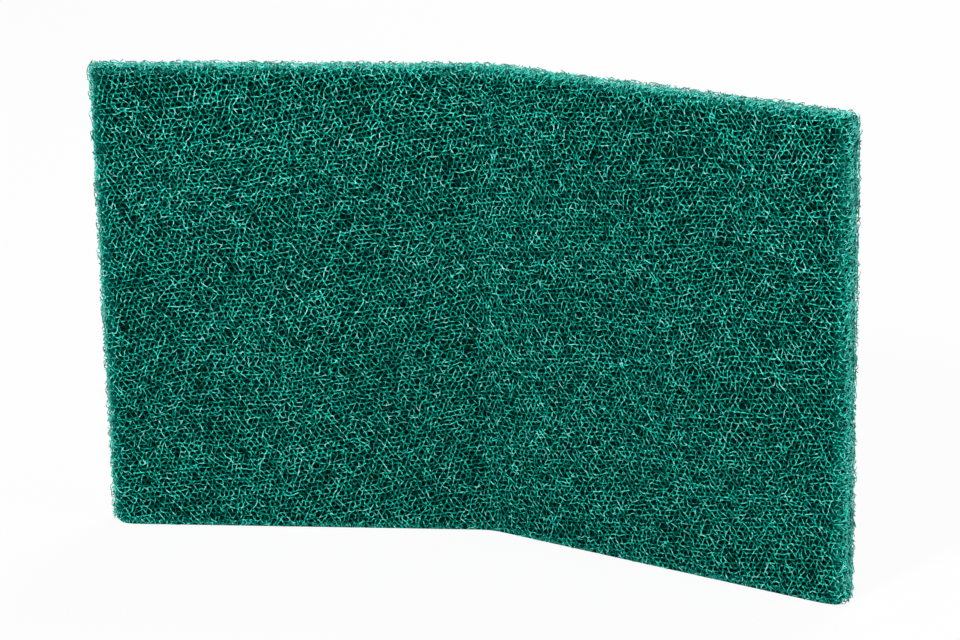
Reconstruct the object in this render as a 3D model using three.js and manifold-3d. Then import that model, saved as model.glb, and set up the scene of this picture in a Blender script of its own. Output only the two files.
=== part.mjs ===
// Scouring pad: one pad of stiff, open fibre web, cut from a roll and bent once along an upright fold.
// Millimetres, +Z up. The pad stands on a long edge, with the hollow side of its fold toward -Y.
import * as THREE from "three";
import { mergeVertices } from "three/addons/utils/BufferGeometryUtils.js";
import Module from "manifold-3d";

// The pad's size when laid flat.
const padLength = 150;
const padHeight = 91;
const padThickness = 6;

// The fold, which runs from the lower edge to the upper edge.
const foldFromLeft = 74.3;
const foldAngle = 27.7;
const foldRadius = 12;

// The corners, each rounded as the knife and wear left it.
const lowerLeftRadius = 1.6;
const upperLeftRadius = 0.6;
const lowerRightRadius = 1;
const upperRightRadius = 1.8;

// The web: strands that cross on the slant, with a pore in each mesh between them.
const strandSpacing = 4.2;
const crossingStray = 0.8;
const crossingDip = 0.5;
const poreDepth = 1.4;
const poreDepthVariation = 0.4;

// How far the roll and the knives reach past what they cut.
const cuttingMargin = 4;

const webColour = 0x0f6154;
const webRoughness = 0.7;

const halfFold = THREE.MathUtils.degToRad(foldAngle) / 2;
const foldReach = foldRadius * halfFold;
const leftLength = foldFromLeft;
const rightLength = padLength - foldFromLeft;

const wasm = await Module();
wasm.setup();

// A point of the bent pad. Along is measured from the middle of the fold, out from mid thickness toward the hollow side.
function onPad(along, up, out) {
  const bent = THREE.MathUtils.clamp(along, -foldReach, foldReach);
  const turn = bent / foldRadius;
  const straight = along - bent;
  const x = (foldRadius - out) * Math.sin(turn) + straight * Math.cos(turn);
  const y = (foldRadius - out) * Math.cos(turn) - straight * Math.sin(turn) - foldRadius;
  return new THREE.Vector3(x, y, up);
}

// An even but irregular spread from -1 to 1, the same for the same crossing every time.
function irregular(column, row, kind) {
  const wave = Math.sin(column * 12.9898 + row * 78.233 + kind * 37.719) * 43758.5453;
  return 2 * (wave - Math.floor(wave)) - 1;
}

function solidOf(geometry) {
  geometry.deleteAttribute("normal");
  geometry.deleteAttribute("uv");
  const welded = mergeVertices(geometry, 1e-4);
  const vertProperties = new Float32Array(welded.getAttribute("position").array);
  const triVerts = new Uint32Array(welded.getIndex().array);
  return new wasm.Manifold(new wasm.Mesh({ numProp: 3, vertProperties, triVerts }));
}

// Turns each face of the sheet into ridges that run from crossing to crossing, so that no ridge runs from pore to pore.
function ridgeBetweenCrossings(sheet, isPore) {
  const corners = sheet.getIndex().array;
  for (let quad = 0; quad < corners.length; quad += 6) {
    const [first, second, fourth, , third] = corners.slice(quad, quad + 6);
    if (isPore(second) && isPore(fourth)) {
      corners.set([first, second, third, first, third, fourth], quad);
    }
  }
}

// A bent stretch of the roll, a little larger than the pad, with pores in both faces.
function webSheet() {
  const step = strandSpacing / Math.SQRT2;
  const columns = Math.ceil((padLength + 2 * cuttingMargin) / step);
  const rows = Math.ceil((padHeight + 2 * cuttingMargin) / step);
  const sheet = new THREE.BoxGeometry(columns * step, rows * step, padThickness, columns, rows, 1);
  const places = sheet.getAttribute("position");
  const columnOf = (vertex) => Math.round(places.getX(vertex) / step + columns / 2);
  const rowOf = (vertex) => Math.round(places.getY(vertex) / step + rows / 2);
  const isPore = (vertex) => (columnOf(vertex) + rowOf(vertex)) % 2 === 1;
  ridgeBetweenCrossings(sheet, isPore);

  const middleAlong = (rightLength - leftLength) / 2;
  const bentPlaces = [];
  for (let vertex = 0; vertex < places.count; vertex += 1) {
    const column = columnOf(vertex);
    const row = rowOf(vertex);
    const face = Math.sign(places.getZ(vertex));
    const depth = isPore(vertex)
      ? poreDepth + poreDepthVariation * irregular(column, row, face + 5)
      : crossingDip * Math.abs(irregular(column, row, face + 5));
    const along = middleAlong + places.getX(vertex) + crossingStray * irregular(column, row, face + 11);
    const up = padHeight / 2 + places.getY(vertex) + crossingStray * irregular(column, row, face + 17);
    bentPlaces.push(onPad(along, up, face * (padThickness / 2 - depth)));
  }
  bentPlaces.forEach((place, vertex) => places.setXYZ(vertex, place.x, place.y, place.z));
  return solidOf(sheet);
}

// The knife's outline for one panel, from past the fold to the panel's free end.
function panelOutline(length, lowerRadius, upperRadius) {
  const outline = new THREE.Shape();
  outline.moveTo(-cuttingMargin, 0);
  outline.lineTo(length - lowerRadius, 0);
  outline.absarc(length - lowerRadius, lowerRadius, lowerRadius, -Math.PI / 2, 0, false);
  outline.lineTo(length, padHeight - upperRadius);
  outline.absarc(length - upperRadius, padHeight - upperRadius, upperRadius, 0, Math.PI / 2, false);
  outline.lineTo(-cuttingMargin, padHeight);
  outline.closePath();
  return outline;
}

// The knife for one panel, standing square to it. Side is -1 for the left panel and 1 for the right.
function panelKnife(side, length, lowerRadius, upperRadius) {
  const outline = panelOutline(length - foldReach, lowerRadius, upperRadius);
  const depth = padThickness + 2 * cuttingMargin;
  const knife = new THREE.ExtrudeGeometry(outline, { depth, bevelEnabled: false, curveSegments: 4 });
  knife.translate(0, 0, -depth / 2);
  const outward = new THREE.Vector3(side * Math.cos(halfFold), -Math.sin(halfFold), 0);
  const upward = new THREE.Vector3(0, 0, 1);
  const through = new THREE.Vector3().crossVectors(outward, upward);
  knife.applyMatrix4(new THREE.Matrix4().makeBasis(outward, upward, through));
  const foldEnd = onPad(side * foldReach, 0, 0);
  knife.translate(foldEnd.x, foldEnd.y, foldEnd.z);
  return solidOf(knife);
}

function padGeometry() {
  const leftKnife = panelKnife(-1, leftLength, lowerLeftRadius, upperLeftRadius);
  const rightKnife = panelKnife(1, rightLength, lowerRightRadius, upperRightRadius);
  const cut = webSheet().intersect(leftKnife.add(rightKnife)).getMesh();
  const geometry = new THREE.BufferGeometry();
  geometry.setAttribute("position", new THREE.BufferAttribute(new Float32Array(cut.vertProperties), 3));
  geometry.setIndex(new THREE.BufferAttribute(new Uint32Array(cut.triVerts), 1));
  return geometry;
}

// Puts the middle of the standing pad's plan at the origin.
function centrePlan(geometry) {
  const half = padThickness / 2;
  const plan = new THREE.Box2();
  for (const out of [-half, half]) {
    for (const along of [-leftLength, 0, rightLength]) {
      const place = onPad(along, 0, out);
      plan.expandByPoint(new THREE.Vector2(place.x, place.y));
    }
  }
  const middle = plan.getCenter(new THREE.Vector2());
  geometry.translate(-middle.x, -middle.y, 0);
}

const geometry = padGeometry();
centrePlan(geometry);
geometry.computeVertexNormals();

const web = new THREE.MeshStandardMaterial({ color: webColour, roughness: webRoughness, metalness: 0 });
const pad = new THREE.Mesh(geometry, web);
pad.name = "scouring_pad";

const part = new THREE.Group();
part.add(pad);

export default part;
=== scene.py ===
import math

import bpy
from mathutils import Matrix, Vector


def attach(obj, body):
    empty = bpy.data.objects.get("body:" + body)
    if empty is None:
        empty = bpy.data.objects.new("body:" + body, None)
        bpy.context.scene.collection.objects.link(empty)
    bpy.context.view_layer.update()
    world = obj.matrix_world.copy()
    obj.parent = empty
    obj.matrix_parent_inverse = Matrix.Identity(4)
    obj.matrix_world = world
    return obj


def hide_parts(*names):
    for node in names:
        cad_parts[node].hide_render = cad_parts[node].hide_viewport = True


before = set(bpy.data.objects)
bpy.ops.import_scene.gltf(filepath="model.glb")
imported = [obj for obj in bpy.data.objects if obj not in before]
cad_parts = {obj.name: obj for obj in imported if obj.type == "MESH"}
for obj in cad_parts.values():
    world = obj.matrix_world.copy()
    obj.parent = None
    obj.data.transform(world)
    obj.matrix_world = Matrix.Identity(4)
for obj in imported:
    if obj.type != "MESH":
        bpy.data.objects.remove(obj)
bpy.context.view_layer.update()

# The deep web
# The pad is one bat of crimped nylon fibres, laid every way, sprayed with green resin and grit, and baked.
# Between its two faces the fibres lie so close together that little light comes back from them.
# This dark sheet, bent with the pad, is painted shade standing in for that depth: dim painted lines of
# lower strands over near-black gaps. It ends a little inside the faces and the cut edges. At its rim and
# near the pad's two ends it is painted paler, as painted light coming in through the thin edges.
PAD_LENGTH = 0.150
PAD_HEIGHT = 0.091
PAD_THICKNESS = 0.006
LEFT_LENGTH = 0.0743
RIGHT_LENGTH = PAD_LENGTH - LEFT_LENGTH
FOLD_ANGLE = math.radians(27.7)
FOLD_RADIUS = 0.012
CORNER_RADII = {"Lower left": 0.0024, "Lower right": 0.0016, "Upper left": 0.0006, "Upper right": 0.0018}
ARRIS_RADIUS = 0.0014
FLOOR_ARRIS_RADIUS = 0.0004
ARRIS_RISE = (0.001, 0.004)
DEEP_THICKNESS = 0.0046
DEEP_INSET = 0.0007
FLOOR_INSET = 0.00015
RIM_SWELL = 0.0002
RIM_SWELL_REACH = (0.0014, 0.0030)
FLOOR_SWELL = 0.0005
FLOOR_SWELL_REACH = (0.0004, 0.0018)
SHEET_VERTICES = (90, 56, 5)
DEEP_WOBBLE = 0.0016
DEEP_WOBBLE_SCALE = 900.0
DEEPER_SHIFT = (0.31, 0.17, 0.05)
DEEP_CELLS = 1000.0
DEEPER_CELLS = 1400.0
LINE_SHARE = 0.07
# Painted shade: dim lines of lower strands and the near-black gaps between them.
DEEP_LINE = (0.0, 0.05, 0.037, 1.0)
DEEPER_LINE = (0.0, 0.03, 0.022, 1.0)
DEEP_GAP = (0.0, 0.002, 0.0016, 1.0)
# Painted light: towards its rim the sheet is painted paler, as if lit through the thin cut edges.
RIM_LIGHT_LINE = (0.025, 0.3, 0.236, 1.0)
RIM_LIGHT_GAP = (0.0, 0.02, 0.016, 1.0)
RIM_REACH = (0.0008, 0.0014)
# Painted light: near both ends of the pad the sheet is painted paler, as if lit through the thin ends.
END_LIGHT = (0.005, 0.12, 0.095, 1.0)
END_LIGHT_SHARE = 0.72
END_LIGHT_REACH = (0.0004, 0.0028)
DEEP_ROUGHNESS = (0.75, 0.95)
DEEP_BUMP_STRENGTH = 0.6
DEEP_BUMP_HEIGHT = 0.0006


def bent_place(along, out):
    """Plan place of a point of the flat pad, seen from the middle of the fold."""
    reach = FOLD_RADIUS * FOLD_ANGLE / 2
    bent = min(max(along, -reach), reach)
    turn = bent / FOLD_RADIUS
    straight = along - bent
    x = (FOLD_RADIUS - out) * math.sin(turn) + straight * math.cos(turn)
    y = (FOLD_RADIUS - out) * math.cos(turn) - straight * math.sin(turn) - FOLD_RADIUS
    return x, y


plan = [bent_place(along, out) for along in (-LEFT_LENGTH, 0, RIGHT_LENGTH)
        for out in (-PAD_THICKNESS / 2, PAD_THICKNESS / 2)]
PLAN_MIDDLE = Vector([(min(side) + max(side)) / 2 for side in zip(*plan)] + [0])


class Tree:
    """A node tree, with short ways to put nodes into it and to join them."""

    def __init__(self, tree):
        self.tree = tree

    def put(self, kind, inputs=(), output=0, **settings):
        node = self.tree.nodes.new(kind)
        for name, value in settings.items():
            setattr(node, name, value)
        for key, value in dict(inputs).items():
            self.feed(node.inputs[key], value)
        return node.outputs[output] if len(node.outputs) else node

    def feed(self, socket, value):
        if isinstance(value, bpy.types.NodeSocket):
            self.tree.links.new(value, socket)
        else:
            socket.default_value = value

    def math(self, operation, *values):
        return self.put("ShaderNodeMath", enumerate(values), operation=operation)

    def add(self, *values):
        total = values[0]
        for value in values[1:]:
            total = self.math("ADD", total, value)
        return total

    def times(self, *values):
        total = values[0]
        for value in values[1:]:
            total = self.math("MULTIPLY", total, value)
        return total

    def less(self, a, b):
        return self.math("SUBTRACT", a, b)

    def share(self, a, b):
        return self.math("DIVIDE", a, b)

    def greater(self, a, b):
        return self.math("MAXIMUM", a, b)

    def smaller(self, a, b):
        return self.math("MINIMUM", a, b)

    def size(self, a):
        return self.math("ABSOLUTE", a)

    def vector(self, operation, *values):
        return self.put("ShaderNodeVectorMath", enumerate(values), operation=operation)

    def scaled(self, vector, scale):
        return self.put("ShaderNodeVectorMath", {"Vector": vector, "Scale": scale}, operation="SCALE")

    def xyz(self, x, y, z):
        return self.put("ShaderNodeCombineXYZ", {"X": x, "Y": y, "Z": z})

    def parts(self, vector):
        return self.put("ShaderNodeSeparateXYZ", {0: vector}).node.outputs

    def between(self, value, low, high, reach=(0.0, 1.0)):
        """Goes from low to high as the value goes through its reach."""
        start, end = reach
        return self.put("ShaderNodeMapRange", {
            "Value": value, "From Min": start, "From Max": end, "To Min": low, "To Max": high})

    def noise(self, place, scale=1.0, detail=0.0):
        """Soft noise about nothing, as three parts between about -0.4 and 0.4."""
        noise = self.put("ShaderNodeTexNoise", {"Vector": place, "Scale": scale, "Detail": detail},
                         output="Color")
        return self.vector("SUBTRACT", noise, (0.5, 0.5, 0.5))

    def ramp(self, value, stops):
        colour = self.put("ShaderNodeValToRGB", {"Fac": value})
        stop_row = colour.node.color_ramp.elements
        while len(stop_row) < len(stops):
            stop_row.new(1.0)
        for stop, (place, shade) in zip(stop_row, stops):
            stop.position = place
            stop.color = shade
        return colour

    def mixed(self, one, other, share=1.0, how="MIX"):
        return self.put("ShaderNodeMix", {0: share, 6: one, 7: other}, output=2, data_type="RGBA",
                        blend_type=how)

    def painted(self, name):
        return self.put("ShaderNodeAttribute", output="Fac", attribute_name=name)

    def kept(self, name):
        return self.put("GeometryNodeInputNamedAttribute", {"Name": name}, data_type="FLOAT")

    def keep(self, geometry, name, value):
        return self.put("GeometryNodeStoreNamedAttribute", {
            "Geometry": geometry, "Name": name, "Value": value})

    def place(self):
        return self.parts(self.put("GeometryNodeInputPosition"))

    def moved(self, geometry, x, y, z):
        return self.put("GeometryNodeSetPosition", {"Geometry": geometry, "Position": self.xyz(x, y, z)})


def new_material(name):
    material = bpy.data.materials.new(name)
    material.use_nodes = True
    material.node_tree.nodes.clear()
    return material, Tree(material.node_tree)


def new_shape_tree(name, sizes):
    group = bpy.data.node_groups.new(name, "GeometryNodeTree")
    kinds = {float: "NodeSocketFloat", int: "NodeSocketInt", Vector: "NodeSocketVector",
             bpy.types.Material: "NodeSocketMaterial"}
    for size, value in sizes.items():
        socket = group.interface.new_socket(size, in_out="INPUT", socket_type=kinds[type(value)])
        socket.default_value = value
    group.interface.new_socket("Geometry", in_out="OUTPUT", socket_type="NodeSocketGeometry")
    return Tree(group), group.nodes.new("NodeGroupInput").outputs


def end_shape_tree(tree, geometry, material):
    geometry = tree.put("GeometryNodeRealizeInstances", {"Geometry": geometry})
    geometry = tree.put("GeometryNodeSetMaterial", {"Geometry": geometry, "Material": material})
    tree.put("NodeGroupOutput", {"Geometry": geometry})


def middle_along(tree, given):
    """Where the middle of the flat pad's length lies, measured from the fold."""
    return tree.times(tree.less(given["Right length"], given["Left length"]), 0.5)


def off_end(tree, given, along):
    """How far a point of the flat pad lies from the nearer of its two ends."""
    half_length = tree.times(tree.add(given["Left length"], given["Right length"]), 0.5)
    return tree.less(half_length, tree.size(tree.less(along, middle_along(tree, given))))


def past_corner(tree, given, along, up):
    """How far a point of the flat pad lies out past the middle of its corner's rounding, and the radius."""
    from_half = tree.less(up, tree.times(given["Height"], 0.5))
    right = tree.math("GREATER_THAN", tree.less(along, middle_along(tree, given)), 0.0)
    upper = tree.math("GREATER_THAN", from_half, 0.0)
    low = tree.between(right, given["Lower left"], given["Lower right"])
    high = tree.between(right, given["Upper left"], given["Upper right"])
    radius = tree.between(upper, low, high)
    past_x = tree.less(radius, off_end(tree, given, along))
    past_y = tree.add(tree.less(tree.size(from_half), tree.times(given["Height"], 0.5)), radius)
    return past_x, past_y, radius


def length_out(tree, past_x, past_y):
    """Length from the middle of a corner's rounding, along what lies out past it."""
    out = tree.xyz(tree.greater(past_x, 0.0), tree.greater(past_y, 0.0), 0.0)
    return tree.put("ShaderNodeVectorMath", {0: out}, output="Value", operation="LENGTH")


def beyond_cut(tree, given, along, up):
    """How far a point of the flat pad lies outside its cut outline with its four rounded corners."""
    past_x, past_y, radius = past_corner(tree, given, along, up)
    inside = tree.smaller(tree.greater(past_x, past_y), 0.0)
    return tree.less(tree.add(length_out(tree, past_x, past_y), inside), radius)


def round_arris(tree, given, geometry, inward):
    """Thins the flat pad towards its cut outline, so that its edges are rounded, least along the floor."""
    along, up, out = tree.place()
    full, low = given["Arris radius"], given["Floor arris radius"]
    at_floor = tree.between(off_end(tree, given, along), full, low, ARRIS_RISE)
    radius = tree.between(up, at_floor, full, ARRIS_RISE)
    short = tree.greater(tree.less(radius, inward), 0.0)
    left = tree.math("SQRT", tree.less(tree.times(radius, radius), tree.times(short, short)))
    lost = tree.share(tree.less(radius, left), tree.times(given["Thickness"], 0.5))
    return tree.moved(geometry, along, up, tree.times(out, tree.less(1.0, lost)))


def bend_at_fold(tree, given, geometry):
    """Bends the flat pad round its fold and stands it over the middle of its plan."""
    along, up, out = tree.place()
    radius = given["Fold radius"]
    reach = tree.times(radius, given["Half fold"])
    bent = tree.put("ShaderNodeClamp", {"Value": along, "Min": tree.times(reach, -1.0), "Max": reach})
    turn = tree.share(bent, radius)
    straight = tree.less(along, bent)
    arm = tree.less(radius, out)
    sine, cosine = tree.math("SINE", turn), tree.math("COSINE", turn)
    x = tree.add(tree.times(arm, sine), tree.times(straight, cosine))
    y = tree.less(tree.less(tree.times(arm, cosine), tree.times(straight, sine)), radius)
    middle_x, middle_y, floor = tree.parts(given["Plan middle"])
    return tree.moved(geometry, tree.less(x, middle_x), tree.less(y, middle_y), tree.less(up, floor))


def made_piece(name, tree, sizes):
    piece = bpy.data.objects.new(name, bpy.data.meshes.new(name))
    bpy.context.scene.collection.objects.link(piece)
    maker = piece.modifiers.new("maker", "NODES")
    maker.node_group = tree.tree
    for socket in tree.tree.interface.items_tree:
        if socket.name in sizes:
            maker[socket.identifier] = sizes[socket.name]
    bpy.context.view_layer.update()
    made = piece.evaluated_get(bpy.context.evaluated_depsgraph_get())
    mesh = bpy.data.meshes.new_from_object(made)
    piece.modifiers.clear()
    piece.data = mesh
    mesh.name = name
    return piece


def joined_to_pad(piece):
    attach(piece, "root")
    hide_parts("scouring_pad")


painted_shade_sheet, paint = new_material("painted_shade_sheet")
place = paint.put("ShaderNodeTexCoord", output="Object")
wobble = paint.noise(place, DEEP_WOBBLE_SCALE, detail=1.0)
place = paint.vector("ADD", place, paint.scaled(wobble, DEEP_WOBBLE))
lower = paint.vector("ADD", place, DEEPER_SHIFT)
cells = paint.put("ShaderNodeTexVoronoi", {"Vector": place, "Scale": DEEP_CELLS},
                  feature="DISTANCE_TO_EDGE")
low_cells = paint.put("ShaderNodeTexVoronoi", {"Vector": lower, "Scale": DEEPER_CELLS},
                      feature="DISTANCE_TO_EDGE")
# The sheet's colour is painted shade: dim painted lines of lower strands over near-black gaps.
lines = paint.ramp(cells, [(0.0, DEEP_LINE), (LINE_SHARE, DEEP_GAP)])
low_lines = paint.ramp(low_cells, [(0.0, DEEPER_LINE), (LINE_SHARE, DEEP_GAP)])
colour = paint.mixed(lines, low_lines, how="LIGHTEN")
# Painted light: paler lines and gaps towards the sheet's rim.
rim_light_lines = paint.ramp(cells, [(0.0, RIM_LIGHT_LINE), (2 * LINE_SHARE, RIM_LIGHT_GAP)])
# Painted light: the sheet is painted paler near the pad's two ends.
end_light_share = paint.between(paint.painted("off_end"), END_LIGHT_SHARE, 0.0, END_LIGHT_REACH)
colour = paint.mixed(colour, END_LIGHT, end_light_share)
colour = paint.mixed(colour, rim_light_lines, paint.between(paint.painted("inward"), 1.0, 0.0, RIM_REACH))
bump = paint.put("ShaderNodeBump", {
    "Height": cells, "Strength": DEEP_BUMP_STRENGTH, "Distance": DEEP_BUMP_HEIGHT}, invert=True)
finish = paint.put("ShaderNodeBsdfPrincipled", {
    "Base Color": colour, "Roughness": paint.between(cells, *DEEP_ROUGHNESS), "Normal": bump,
    "Specular IOR Level": 0.0})
paint.put("ShaderNodeOutputMaterial", {"Surface": finish})

pad_sizes = {"Left length": LEFT_LENGTH, "Right length": RIGHT_LENGTH, "Height": PAD_HEIGHT,
             "Thickness": PAD_THICKNESS, **CORNER_RADII, "Arris radius": ARRIS_RADIUS,
             "Floor arris radius": FLOOR_ARRIS_RADIUS, "Fold radius": FOLD_RADIUS,
             "Half fold": FOLD_ANGLE / 2, "Plan middle": PLAN_MIDDLE,
             "Deep thickness": DEEP_THICKNESS, "Deep inset": DEEP_INSET}
t, given = new_shape_tree("deep sheet", {
    **pad_sizes, "Floor inset": FLOOR_INSET, "Rim swell": RIM_SWELL, "Floor swell": FLOOR_SWELL,
    "Material": painted_shade_sheet})
vertices_x, vertices_y, vertices_z = SHEET_VERTICES
sheet = t.put("GeometryNodeMeshCube", {
    "Size": t.xyz(2.0, 2.0, given["Deep thickness"]),
    "Vertices X": vertices_x, "Vertices Y": vertices_y, "Vertices Z": vertices_z})
side, rise, out = t.place()
flat_length = t.add(given["Left length"], given["Right length"])
sheet_length = t.less(flat_length, t.times(given["Deep inset"], 2.0))
sheet_height = t.less(given["Height"], t.add(given["Deep inset"], given["Floor inset"]))
closer = [t.math("SINE", t.times(way, math.pi / 2)) for way in (side, rise)]
along = t.add(t.times(closer[0], t.times(sheet_length, 0.5)), middle_along(t, given))
up = t.add(t.times(t.add(closer[1], 1.0), t.times(sheet_height, 0.5)), given["Floor inset"])
sheet = t.moved(sheet, along, up, out)
along, up, out = t.place()
past_x, past_y, radius = past_corner(t, given, along, up)
inner_radius = t.less(radius, given["Floor inset"])
lost = t.less(1.0, t.share(inner_radius, t.greater(length_out(t, past_x, past_y), inner_radius)))
lost_x, lost_y = [t.times(t.greater(past, 0.0), lost) for past in (past_x, past_y)]
from_half = t.less(up, t.times(given["Height"], 0.5))
along = t.less(along, t.times(lost_x, t.math("SIGN", along)))
up = t.less(up, t.times(lost_y, t.math("SIGN", from_half)))
sheet = t.moved(sheet, along, up, out)
along, up, out = t.place()
sheet = t.keep(sheet, "inward", t.times(beyond_cut(t, given, along, up), -1.0))
sheet = t.keep(sheet, "off_end", off_end(t, given, along))
rim_swell = t.times(given["Rim swell"], t.between(t.kept("inward"), 1.0, 0.0, RIM_SWELL_REACH))
floor_swell = t.times(given["Floor swell"], t.between(up, 1.0, 0.0, FLOOR_SWELL_REACH))
swell = t.share(t.greater(rim_swell, floor_swell), t.times(given["Deep thickness"], 0.5))
sheet = t.moved(sheet, along, up, t.times(out, t.add(swell, 1.0)))
sheet = round_arris(t, given, sheet, t.kept("inward"))
sheet = bend_at_fold(t, given, sheet)
end_shape_tree(t, sheet, given["Material"])
joined_to_pad(made_piece("painted_shade_web", t, {}))

# The two faces
# Each face is a net of crimped strands, each a fibre in its coat of green resin, laid three ways.
# A strand weaves up to the face and down into the depth, where its colour is darkened as painted shade,
# and is cut at the pad's edge. The resin gathers on the upper strands, so they are thicker, and these
# carry painted glints. Each way of laying is a piece.
STRAND_THICKNESS = 0.00012
TOP_SWELL = 1.65
DEEP_SWELL = 0.6
STRAND_STEP = 0.0005
RING_SIDES = 3
COAT_VARIATION = (0.8, 1.2)
FACE_SPACING = 0.00087
BACK_SPACING = 0.00104
BACK_STEP = 0.0007
LAY_REACH = 0.178
FIRST_HEADING = 0.15
JITTER = 0.05
WANDER_LENGTH = 0.022
WANDER_HEIGHT = 0.0035
CURL_LENGTH = 0.0024
CURL_HEIGHT = 0.0008
TWIST_LENGTH = 0.00105
TWIST_HEIGHT = 0.001
CRIMP_LENGTH = 0.0009
CRIMP_HEIGHT = 0.0002
CRIMP_DIP = 0.0006
WEAVE_LENGTH = 0.002
FACE_DEPTH = 0.00055
WEAVE_GAIN = 1.6
FRINGE = 0.0008
FEW_STAND_OUT = 3.0
CUT_REACH = (0.0, 0.0009)
# Painted shade: strand tips standing out past the cut count this share of how far out they stand as depth.
OUTER_SHADE = 0.9
OFF_FACE_REACH = (0.0002, 0.0009)
OFF_FLOOR_REACH = (0.0005, 0.0030)
# A soft wave along each strand sets its tone and glint value: partly tone that differs at random, partly
# painted glints where it runs high.
TONE_AND_GLINT_LENGTH = 0.0015
TONE_AND_GLINT_GAIN = 1.5
TONE_AND_GLINT_SHARE = 0.75
TONE_AND_GLINT_SPECK_SCALE = 2200.0
TONE_AND_GLINT_SPECK_SHARE = 2.3
# Lowers the tone and glint value with depth, so deep strands take no painted glints and darker stops, more
# painted shade.
GLINT_AND_SHADE_SINK = 500.0
# The coat's colours by tone and glint value: the lower stops are the resin's own greens, the two palest
# stops are painted glints.
COAT_AND_GLINTS = [(0.0, (0.0, 0.23, 0.167, 1)), (0.3, (0.0, 0.6, 0.448, 1)), (0.55, (0.025, 1.0, 0.79, 1)),
        (0.8, (0.2, 1.0, 0.9, 1)), (1.0, (0.6, 1.0, 0.97, 1))]
# Painted shade: the share of the coat colour left at each depth below the face, darker deeper down.
DEPTH_SHADE = [(0.0, 1.0), (0.0003, 0.86), (0.00045, 0.38), (0.0006, 0.1), (0.003, 0.03)]
# Painted light: strands near a cut edge, but not along the floor, are painted paler, as if lit through the
# edge.
EDGE_LIGHT_SHARE = 0.55
EDGE_LIGHT_COLOUR = (0.25, 0.95, 0.85, 1.0)
GRIT_SCALE = 9000.0
GRIT_BUMP_STRENGTH = 0.3
GRIT_BUMP_HEIGHT = 0.00003
COAT_ROUGHNESS = (0.3, 0.6)
COAT_SHINE = 0.02
HIDDEN_SHARE = 0.49
HIDDEN_INSET = 1.2
SEED_STRIDE = 31.0
NOISE_PER_STRAND = 3.37
NOISE_PER_SEED = 17.3
NOISE_PER_STRAY = 7.3
WEAVE_NOISE = 50.0
TONE_AND_GLINT_NOISE = 90.0
BACK_LAY = 50.0
STRIP_MARGIN = 0.03
SIDE_MARGIN = 0.1

coated_fibre, paint = new_material("coated_fibre")
place = paint.put("ShaderNodeTexCoord", output="Object")
depth = paint.painted("depth")
# Fine specks raise or lower the tone and glint value: random tone, and painted glint specks where they run
# high.
tone_and_glint_specks = paint.parts(paint.noise(place, TONE_AND_GLINT_SPECK_SCALE))[0]
tone_and_glint = paint.add(paint.times(paint.painted("tone_and_glint"), TONE_AND_GLINT_SHARE), paint.times(tone_and_glint_specks, TONE_AND_GLINT_SPECK_SHARE))
# Deeper strands lose their painted glints and take darker stops, more painted shade.
tone_and_glint = paint.less(tone_and_glint, paint.times(depth, GLINT_AND_SHADE_SINK))
# Painted shade: the coat colour is darkened with depth below the face.
deepest = DEPTH_SHADE[-1][0]
shade_stops = [(at / deepest, (left, left, left, 1)) for at, left in DEPTH_SHADE]
lit = paint.ramp(paint.share(depth, deepest), shade_stops)
# The coat's colour, painted paler near the cut edges as painted light.
colour = paint.mixed(paint.ramp(tone_and_glint, COAT_AND_GLINTS), EDGE_LIGHT_COLOUR, paint.times(paint.painted("cut"), EDGE_LIGHT_SHARE))
colour = paint.mixed(colour, lit, how="MULTIPLY")
grit = paint.put("ShaderNodeTexNoise", {"Vector": place, "Scale": GRIT_SCALE, "Detail": 1.0}, output="Fac")
bump = paint.put("ShaderNodeBump", {
    "Height": grit, "Strength": GRIT_BUMP_STRENGTH, "Distance": GRIT_BUMP_HEIGHT})
finish = paint.put("ShaderNodeBsdfPrincipled", {
    "Base Color": colour, "Roughness": paint.between(grit, *COAT_ROUGHNESS), "Normal": bump,
    "Specular IOR Level": COAT_SHINE})
paint.put("ShaderNodeOutputMaterial", {"Surface": finish})

strand_sizes = {**pad_sizes, "Strand radius": STRAND_THICKNESS / 2, "Top swell": TOP_SWELL,
                "Deep swell": DEEP_SWELL, "Step": STRAND_STEP, "Heading": 0.0, "Phase": 0.0,
                "Jitter": JITTER,
                "Wander length": WANDER_LENGTH, "Wander height": WANDER_HEIGHT,
                "Curl length": CURL_LENGTH, "Curl height": CURL_HEIGHT,
                "Twist length": TWIST_LENGTH, "Twist height": TWIST_HEIGHT,
                "Crimp length": CRIMP_LENGTH, "Crimp height": CRIMP_HEIGHT, "Crimp dip": CRIMP_DIP,
                "Weave length": WEAVE_LENGTH, "Depth": FACE_DEPTH, "Fringe": FRINGE,
                "Fringe power": FEW_STAND_OUT, "Tone and glint length": TONE_AND_GLINT_LENGTH, "Lay": 0.0, "Seed": 1,
                "Material": coated_fibre}


def chance(tree, given, low, high, kind):
    """One number between low and high for each strand."""
    seed = tree.add(tree.times(given["Seed"], SEED_STRIDE), float(kind))
    return tree.put("FunctionNodeRandomValue", {
        2: low, 3: high, "ID": tree.kept("strand"), "Seed": seed}, output=1)


def straight_strands(tree, strands, points):
    """Strands of so many points each, still straight, each point with its strand and its own number."""
    strand = tree.put("GeometryNodeMeshLine", {"Count": points})
    starts = tree.put("GeometryNodePoints", {"Count": strands})
    web = tree.put("GeometryNodeInstanceOnPoints", {"Points": starts, "Instance": strand})
    web = tree.put("GeometryNodeRealizeInstances", {"Geometry": web})
    index = tree.put("GeometryNodeInputIndex")
    number = tree.math("FLOOR", tree.share(tree.add(index, 0.5), points))
    web = tree.keep(web, "strand", number)
    return tree.keep(web, "point", tree.less(index, tree.times(number, points)))


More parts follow.
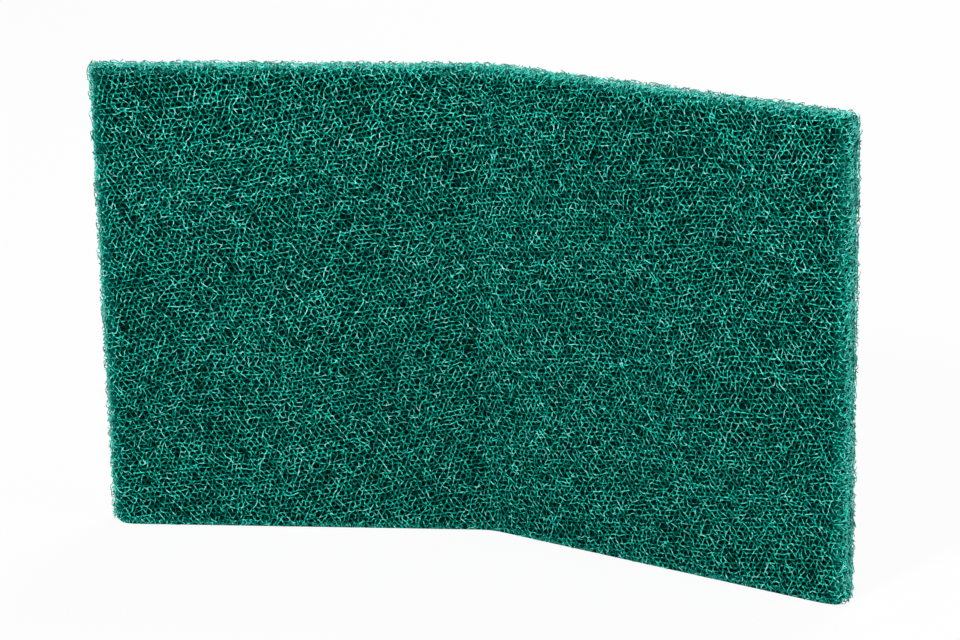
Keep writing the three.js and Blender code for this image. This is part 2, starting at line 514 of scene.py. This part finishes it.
def waves(tree, given, wave_length, kind):
    """Three soft waves along each strand, each strand's its own."""
    gone = tree.share(tree.times(tree.kept("point"), given["Step"]), wave_length)
    place = tree.xyz(tree.add(gone, chance(tree, given, 0.0, 1.0, 2)),
                     tree.times(tree.kept("strand"), NOISE_PER_STRAND),
                     tree.add(tree.times(given["Seed"], NOISE_PER_SEED), kind))
    return tree.parts(tree.noise(place))


def strayed(tree, given, laid):
    """Place along and across the lay, when all strands near one place have strayed the same way."""
    place = laid
    for kind, name in enumerate(("Wander", "Curl", "Twist")):
        near = tree.scaled(laid, tree.share(1.0, given[name + " length"]))
        near = tree.vector("ADD", near, tree.xyz(0.0, 0.0, tree.add(given["Lay"], NOISE_PER_STRAY * kind)))
        place = tree.vector("ADD", place, tree.scaled(tree.noise(near), given[name + " height"]))
    return tree.parts(place)[:2]


def woven_depth(tree, given, dip):
    """How deep under its face a strand lies as it weaves up and down."""
    weave = waves(tree, given, given["Weave length"], WEAVE_NOISE)[0]
    share = tree.put("ShaderNodeClamp", {"Value": tree.add(tree.times(weave, WEAVE_GAIN), 0.5)})
    deep = tree.add(tree.times(share, given["Depth"]), tree.times(dip, given["Crimp dip"]))
    return tree.greater(deep, given["Strand radius"])


def cut_with_pad(tree, given, web):
    """Cuts the strands with the pad, and keeps how deep and how near a cut edge each point lies. Tips
    standing out past the cut count as deep, for painted shade; strands near a cut edge take painted light.
    """
    along, up, out = tree.place()
    under_face = tree.less(tree.times(given["Thickness"], 0.5), tree.size(out))
    beyond = beyond_cut(tree, given, along, up)
    inward = tree.greater(tree.times(beyond, -1.0), 0.0)
    off_cut = tree.greater(inward, tree.times(beyond, OUTER_SHADE))
    web = tree.keep(web, "inward", inward)
    # Painted shade: tips past the cut get a depth from how far out they stand, so they are darkened too.
    web = tree.keep(web, "depth", tree.smaller(under_face, off_cut))
    # The cut share marks where the painted edge light goes: near a cut edge, below the face's surface and
    # off the floor.
    near_cut = tree.between(off_cut, 1.0, 0.0, CUT_REACH)
    off_face = tree.between(under_face, 0.0, 1.0, OFF_FACE_REACH)
    off_floor = tree.between(up, 0.0, 1.0, OFF_FLOOR_REACH)
    web = tree.keep(web, "cut", tree.times(near_cut, off_face, off_floor))
    reach = tree.math("POWER", chance(tree, given, 0.0, 1.0, 6), given["Fringe power"])
    reach = tree.times(reach, given["Fringe"])
    cut_off = tree.math("GREATER_THAN", beyond, reach)
    under_floor = tree.math("LESS_THAN", up, tree.times(given["Strand radius"], given["Top swell"]))
    outside = tree.greater(tree.math("LESS_THAN", under_face, 0.0), under_floor)
    under_sheet = tree.math("LESS_THAN", tree.size(out), tree.times(given["Deep thickness"], HIDDEN_SHARE))
    inside_rim = tree.math("GREATER_THAN", inward, tree.times(given["Deep inset"], HIDDEN_INSET))
    lost = tree.greater(tree.greater(cut_off, outside), tree.times(under_sheet, inside_rim))
    return tree.put("GeometryNodeDeleteGeometry", {"Geometry": web, "Selection": lost}, domain="POINT",
                    mode="ALL")


def coated(tree, given, web):
    """Gives each strand its round coat, thicker on the face than in the depth."""
    web = tree.put("GeometryNodeMeshToCurve", {"Mesh": web})
    through = (0.0, given["Depth"])
    swell = tree.between(tree.kept("depth"), given["Top swell"], given["Deep swell"], through)
    swell = tree.times(swell, chance(tree, given, *COAT_VARIATION, 7))
    ring = tree.put("GeometryNodeCurvePrimitiveCircle", {
        "Resolution": RING_SIDES, "Radius": given["Strand radius"]})
    ring = tree.keep(ring, "side", tree.put("GeometryNodeSplineParameter"))
    web = tree.put("GeometryNodeCurveToMesh", {
        "Curve": web, "Profile Curve": ring, "Scale": swell, "Fill Caps": True})
    return tree.put("GeometryNodeSetShadeSmooth", {"Geometry": web, "Shade Smooth": True})


def laid_out_for_bake(tree, web, strands, points, columns):
    """Gives each strand its own strip of the bake, with its three sides one above the other."""
    side = tree.kept("side")
    face_side = tree.put("GeometryNodeFieldOnDomain", {0: side}, domain="FACE", data_type="FLOAT")
    mean_of_last = (RING_SIDES - 1) / (2 * RING_SIDES)
    last_side = tree.math("COMPARE", face_side, mean_of_last, 0.05)
    side = tree.add(side, tree.times(last_side, tree.math("LESS_THAN", side, 0.1)))
    number = tree.kept("strand")
    column = tree.math("FLOORED_MODULO", number, columns)
    row = tree.math("FLOOR", tree.share(tree.add(number, 0.5), columns))
    rows = tree.math("CEIL", tree.share(strands, columns))
    run = tree.share(tree.kept("point"), points)
    run = tree.add(tree.times(run, 1 - 2 * STRIP_MARGIN), STRIP_MARGIN)
    side = tree.add(tree.times(side, 1 - 2 * SIDE_MARGIN), SIDE_MARGIN)
    across = tree.share(tree.add(column, run), columns)
    down = tree.share(tree.add(row, side), rows)
    return tree.put("GeometryNodeStoreNamedAttribute", {
        "Geometry": web, "Name": "OFBake", "Value": tree.xyz(across, down, 0.0)},
        data_type="FLOAT2", domain="CORNER")


def finished_web(tree, given, web, strands, points, columns):
    """Gives the strands their tone and painted glints, cuts, bends and coats them, and ends their tree."""
    glow = waves(tree, given, given["Tone and glint length"], TONE_AND_GLINT_NOISE)[0]
    web = tree.keep(web, "tone_and_glint", tree.add(tree.times(glow, TONE_AND_GLINT_GAIN), 0.5))
    web = cut_with_pad(tree, given, web)
    web = round_arris(tree, given, web, tree.kept("inward"))
    web = bend_at_fold(tree, given, web)
    web = coated(tree, given, web)
    web = laid_out_for_bake(tree, web, strands, points, columns)
    end_shape_tree(tree, web, given["Material"])


face_tree, given = new_shape_tree("face strands", {
    **strand_sizes, "Face": 1.0, "Spacing": FACE_SPACING, "Lay reach": LAY_REACH})
t = face_tree
strands = t.math("ROUND", t.share(given["Lay reach"], given["Spacing"]))
points = t.math("ROUND", t.share(given["Lay reach"], given["Step"]))
web = straight_strands(t, strands, points)
fore, aside, dip = waves(t, given, given["Crimp length"], 0.0)
lane = t.add(t.less(t.kept("strand"), t.math("FLOOR", t.times(strands, 0.5))), given["Phase"],
             t.times(chance(t, given, -0.5, 0.5, 1), given["Jitter"]))
gone = t.less(t.times(t.kept("point"), given["Step"]), t.times(given["Lay reach"], 0.5))
laid = t.xyz(t.add(gone, t.times(fore, given["Crimp height"])),
             t.add(t.times(lane, given["Spacing"]), t.times(aside, given["Crimp height"])), 0.0)
laid = t.put("ShaderNodeVectorRotate", {"Vector": laid, "Angle": given["Heading"]},
             rotation_type="Z_AXIS")
along, up = strayed(t, given, laid)
along = t.add(along, middle_along(t, given))
up = t.add(up, t.times(given["Height"], 0.5))
out = t.times(given["Face"], t.less(t.times(given["Thickness"], 0.5), woven_depth(t, given, dip)))
finished_web(t, given, t.moved(web, along, up, out), strands, points, 1.0)

coarser = BACK_SPACING / FACE_SPACING
back_lay = {"Face": -1.0, "Spacing": BACK_SPACING, "Step": BACK_STEP, "Lay": BACK_LAY,
            "Curl length": CURL_LENGTH * coarser, "Curl height": CURL_HEIGHT * coarser,
            "Twist length": TWIST_LENGTH * coarser, "Twist height": TWIST_HEIGHT * coarser}
for number, (way, phase) in enumerate((("level", 0.5), ("rising", 0.0), ("falling", 0.0))):
    front = {"Heading": FIRST_HEADING + number * math.pi / 3, "Phase": phase, "Seed": number + 1}
    back = {**front, **back_lay, "Seed": number + 11}
    joined_to_pad(made_piece("front_web_" + way, face_tree, front))
    joined_to_pad(made_piece("back_web_" + way, face_tree, back))

# The cut edges
# The pad was cut from a wide roll, so all round its rim the cut shows the web from the side.
# There the strands curl out of the cut and back. They run round the rim and cross it both ways.
EDGE_SPACING = 0.0009
EDGE_WIDTH = 0.0066
EDGE_DEPTH = 0.0011
EDGE_PROUD = 0.0006
EDGE_SWELL = 1.9
MOST_STAND_OUT = 0.5
EDGE_WEAVE_LENGTH = 0.0014
EDGE_CRIMP_HEIGHT = 0.0008
EDGE_CRIMP_DIP = 0.0022
EDGE_WANDER_HEIGHT = 0.001
CROSSING = math.pi / 3
EDGE_LAY = 90.0
BAKE_COLUMNS = 16.0

edge_tree, given = new_shape_tree("edge strands", {
    **strand_sizes, "Strands": 1, "Points": 2, "Stride round": 0.0, "Stride through": 0.0,
    "Edge width": EDGE_WIDTH, "Proud": EDGE_PROUD, "Columns": 1.0})
t = edge_tree
web = straight_strands(t, given["Strands"], given["Points"])
fore, aside, dip = waves(t, given, given["Crimp length"], 0.0)
lane = t.add(t.kept("strand"), given["Phase"], t.times(chance(t, given, -0.5, 0.5, 1), given["Jitter"]))
gone = t.times(t.kept("point"), given["Step"])
rounds = t.add(t.times(lane, given["Stride round"]), t.times(gone, t.math("COSINE", given["Heading"])),
               t.times(fore, given["Crimp height"]))
through = t.add(t.times(lane, given["Stride through"]), t.times(gone, t.math("SINE", given["Heading"])),
                t.times(aside, given["Crimp height"]))
rounds, through = strayed(t, given, t.xyz(rounds, through, 0.0))
length, height = t.add(given["Left length"], given["Right length"]), given["Height"]
rounds = t.math("FLOORED_MODULO", rounds, t.times(t.add(length, height), 2.0))


def walked(start, span):
    """How much of a side of the rim, that begins at start, a strand has passed."""
    return t.put("ShaderNodeClamp", {"Value": t.less(rounds, start), "Max": span})


along = t.less(walked(0.0, length), walked(t.add(length, height), length))
up = t.less(walked(length, height), walked(t.add(length, length, height), height))
inset = t.less(woven_depth(t, given, dip), given["Proud"])
along = t.add(t.times(along, t.less(1.0, t.share(t.times(inset, 2.0), length))), inset)
up = t.add(t.times(up, t.less(1.0, t.share(t.times(inset, 2.0), height))), inset)
out = t.less(through, t.times(given["Edge width"], 0.5))
web = t.moved(web, t.less(along, given["Left length"]), up, out)
finished_web(t, given, web, given["Strands"], given["Points"], given["Columns"])

rim_length = 2 * (PAD_LENGTH + PAD_HEIGHT)
lanes_apart = EDGE_SPACING / math.sin(CROSSING)
crossing_length = EDGE_WIDTH / math.sin(CROSSING)
cut_edge = {"Depth": EDGE_DEPTH, "Weave length": EDGE_WEAVE_LENGTH, "Crimp dip": EDGE_CRIMP_DIP,
            "Crimp height": EDGE_CRIMP_HEIGHT, "Wander height": EDGE_WANDER_HEIGHT,
            "Top swell": EDGE_SWELL,
            "Fringe power": MOST_STAND_OUT, "Lay": EDGE_LAY}
round_rim = {**cut_edge, "Strands": round(EDGE_WIDTH / EDGE_SPACING), "Stride through": EDGE_SPACING,
             "Points": round(rim_length / STRAND_STEP), "Phase": 0.5}
across_rim = {**cut_edge, "Strands": round(rim_length / lanes_apart), "Stride round": lanes_apart,
              "Points": round(crossing_length / STRAND_STEP) + 1, "Columns": BAKE_COLUMNS}
rising = {**across_rim, "Heading": CROSSING, "Seed": 22}
falling = {**across_rim, "Heading": math.pi - CROSSING, "Seed": 23}
joined_to_pad(made_piece("edge_web_round", edge_tree, {**round_rim, "Seed": 21}))
joined_to_pad(made_piece("edge_web_rising", edge_tree, rising))
joined_to_pad(made_piece("edge_web_falling", edge_tree, falling))

# The studio
# The pad stands on a plain white floor before a white ground, under three soft lamps.
# The camera looks a little down on the hollow side, as the photograph does.
WORLD_LIGHT = 0.15
FLOOR_GLOW = 0.93
FLOOR_COLOUR = (0.85, 0.85, 0.85, 1)
FLOOR_REACH = 3
WHITE = (1, 1, 1, 1)
KEY_LAMP = ((-0.25, -0.85, 0.65), 0.2, 8.5)
FILL_LAMP = ((0.9, -0.05, 0.45), 0.5, 4.5)
BACK_LAMP = ((0.1, 0.6, 0.7), 0.5, 4.0)
CAMERA_AZIMUTH = math.radians(19.7)
CAMERA_ELEVATION = math.radians(17.9)
CAMERA_ROLL = math.radians(-1.19)
CAMERA_DISTANCE = 0.622
CAMERA_TARGET = Vector((-0.00279, 0.00809, 0.04184))
CAMERA_LENS = 123.4
CAMERA_SENSOR = 36.0
CAMERA_NEAR = 0.01

scene = bpy.context.scene
scene.view_settings.view_transform = "Standard"


def seen_plainly(tree):
    """1 for the camera, mirrors and glass, and 0 for light."""
    path = tree.put("ShaderNodeLightPath").node.outputs
    mirrored = tree.greater(path["Is Glossy Ray"], path["Is Transmission Ray"])
    return tree.greater(path["Is Camera Ray"], mirrored)


scene.world = bpy.data.worlds.new("white_studio")
scene.world.use_nodes = True
scene.world.node_tree.nodes.clear()
air = Tree(scene.world.node_tree)
strength = air.between(seen_plainly(air), WORLD_LIGHT, 1.0)
air.put("ShaderNodeOutputWorld", {"Surface": air.put("ShaderNodeBackground", {
    "Color": WHITE, "Strength": strength})})

floor_mesh = bpy.data.meshes.new("floor")
floor_corners = [(x * FLOOR_REACH, y * FLOOR_REACH, 0) for x, y in ((-1, -1), (1, -1), (1, 1), (-1, 1))]
floor_mesh.from_pydata(floor_corners, [], [(0, 1, 2, 3)])
floor = bpy.data.objects.new("floor", floor_mesh)
scene.collection.objects.link(floor)
white_floor, paint = new_material("white_floor")
matt = paint.put("ShaderNodeBsdfDiffuse", {"Color": FLOOR_COLOUR})
glow = paint.put("ShaderNodeEmission", {"Color": WHITE, "Strength": 1.0})
share = paint.times(seen_plainly(paint), FLOOR_GLOW)
finish = paint.put("ShaderNodeMixShader", {0: share, 1: matt, 2: glow})
paint.put("ShaderNodeOutputMaterial", {"Surface": finish})
floor_mesh.materials.append(white_floor)

for name, (place, size, power) in {"key": KEY_LAMP, "fill": FILL_LAMP, "back": BACK_LAMP}.items():
    light = bpy.data.lights.new(name, "AREA")
    light.size = size
    light.energy = power
    lamp = bpy.data.objects.new(name, light)
    aim = Vector((0, 0, PAD_HEIGHT / 2)) - Vector(place)
    lamp.matrix_world = Matrix.Translation(place) @ aim.to_track_quat("-Z", "Y").to_matrix().to_4x4()
    scene.collection.objects.link(lamp)

level = math.cos(CAMERA_ELEVATION)
right = Vector((math.cos(CAMERA_AZIMUTH), math.sin(CAMERA_AZIMUTH), 0))
ahead = Vector((-right.y * level, right.x * level, -math.sin(CAMERA_ELEVATION)))
upright = right.cross(ahead)
rolled_right = right * math.cos(CAMERA_ROLL) + upright * math.sin(CAMERA_ROLL)
rolled_up = upright * math.cos(CAMERA_ROLL) - right * math.sin(CAMERA_ROLL)
turned = Matrix((rolled_right, rolled_up, -ahead)).transposed().to_4x4()
camera = bpy.data.objects.new("camera", bpy.data.cameras.new("camera"))
camera.data.sensor_width = CAMERA_SENSOR
camera.data.lens = CAMERA_LENS
camera.data.clip_start = CAMERA_NEAR
camera.matrix_world = Matrix.Translation(CAMERA_TARGET - ahead * CAMERA_DISTANCE) @ turned
scene.collection.objects.link(camera)
scene.camera = camera
